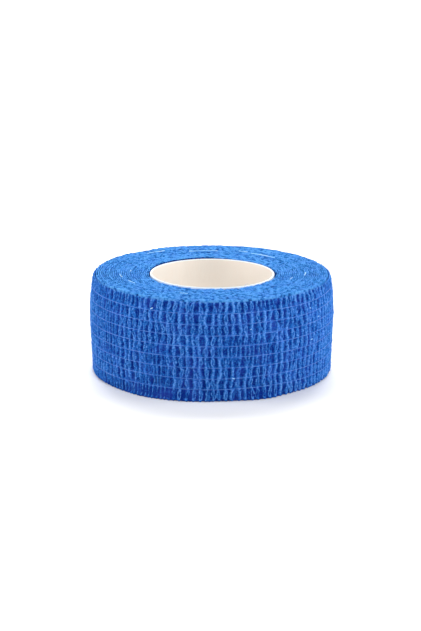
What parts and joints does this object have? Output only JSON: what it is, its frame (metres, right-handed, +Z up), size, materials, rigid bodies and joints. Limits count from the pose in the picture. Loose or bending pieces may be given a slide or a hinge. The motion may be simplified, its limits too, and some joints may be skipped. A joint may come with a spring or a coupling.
{
  "type": "cohesive bandage roll",
  "caption": "Roll of creped, self-adhering elastic bandage wound on a pale paper core, lying flat on its side face.",
  "frame": {"origin": "middle of the flat face that the roll lies on", "axes": "+Z up the roll's axis, from the face it lies on to the upper face; +X and +Y across it, with the strip's cut end at about 118 degrees from +X"},
  "size_m": [0.0616, 0.0618, 0.025],
  "materials": {
    "bandage_cloth": "matte blue creped nonwoven with paler elastic threads",
    "core_paper": "smooth cream paper tube, stands in for wound card"
  },
  "bodies": {
    "root": {"core_tube": "core_paper", "bandage_roll": "bandage_cloth"}
  },
  "joints": []
}
